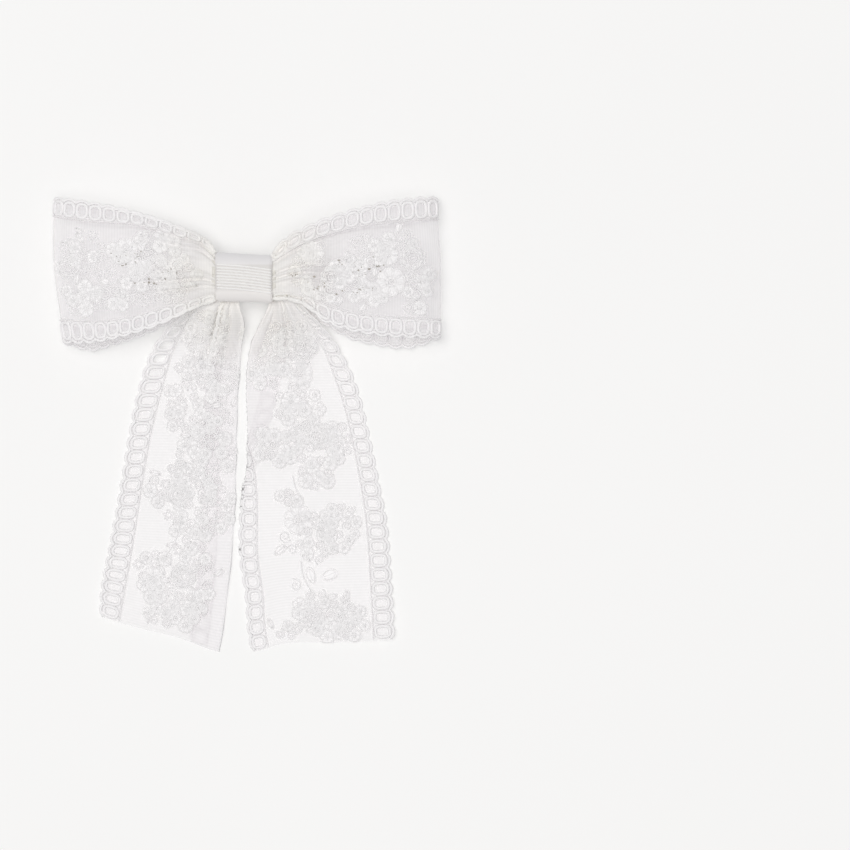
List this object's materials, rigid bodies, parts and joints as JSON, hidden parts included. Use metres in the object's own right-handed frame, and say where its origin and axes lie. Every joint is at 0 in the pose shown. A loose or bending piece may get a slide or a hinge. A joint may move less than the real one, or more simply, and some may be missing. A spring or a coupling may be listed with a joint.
{
  "type": "hair bow",
  "caption": "Lace ribbon hair bow with two flat loops, two long tails and a ribbed centre wrap, glued to a sprung metal alligator clip.",
  "frame": {"origin": "on the flat underside of the clip's lower jaw, straight below the middle of the knot", "axes": "+X across the bow towards the right loop, +Y up the bow away from the tails, +Z out of the bow's face; the bow lies face up"},
  "size_m": [0.1123, 0.1318, 0.0153],
  "materials": {
    "lace_ribbon": "sheer organza with white embroidery",
    "grosgrain": "fine cross ribs, soft satin sheen",
    "thread": "matt",
    "glue": "clear milky hot glue",
    "clip_steel": "nickel plated sheet steel",
    "spring_steel": "bright spring wire"
  },
  "bodies": {
    "bow": {"right_loop": "lace_ribbon", "left_loop": "lace_ribbon", "left_tail_root": "lace_ribbon", "right_tail_root": "lace_ribbon", "gathered_waist": "lace_ribbon", "gathering_thread": "thread", "centre_wrap": "grosgrain", "knot_glue": "glue", "clip_glue": "glue", "clip_upper_jaw": "clip_steel", "clip_hinge_pin": "clip_steel", "clip_spring": "spring_steel"},
    "lower_jaw": {"clip_lower_jaw": "clip_steel"},
    "left_tail_end": {"left_tail": "lace_ribbon"},
    "right_tail_end": {"right_tail": "lace_ribbon"}
  },
  "joints": [
    {"name": "jaw_hinge", "type": "hinge", "parent": "bow", "child": "lower_jaw", "pos_m": [-0.011, 0, 0.00285], "axis": [0, 1, 0], "range_deg": [0, 25], "stiffness_Nm_per_rad": 0.06, "springref_deg": -28.65, "deforming": ["clip_spring"]},
    {"name": "left_tail_lift", "type": "hinge", "parent": "bow", "child": "left_tail_end", "pos_m": [-0.015, -0.026, 0.0006], "axis": [-1, 0, 0], "range_deg": [0, 60]},
    {"name": "right_tail_lift", "type": "hinge", "parent": "bow", "child": "right_tail_end", "pos_m": [0.015, -0.026, 0.0006], "axis": [-1, 0, 0], "range_deg": [0, 60]}
  ]
}
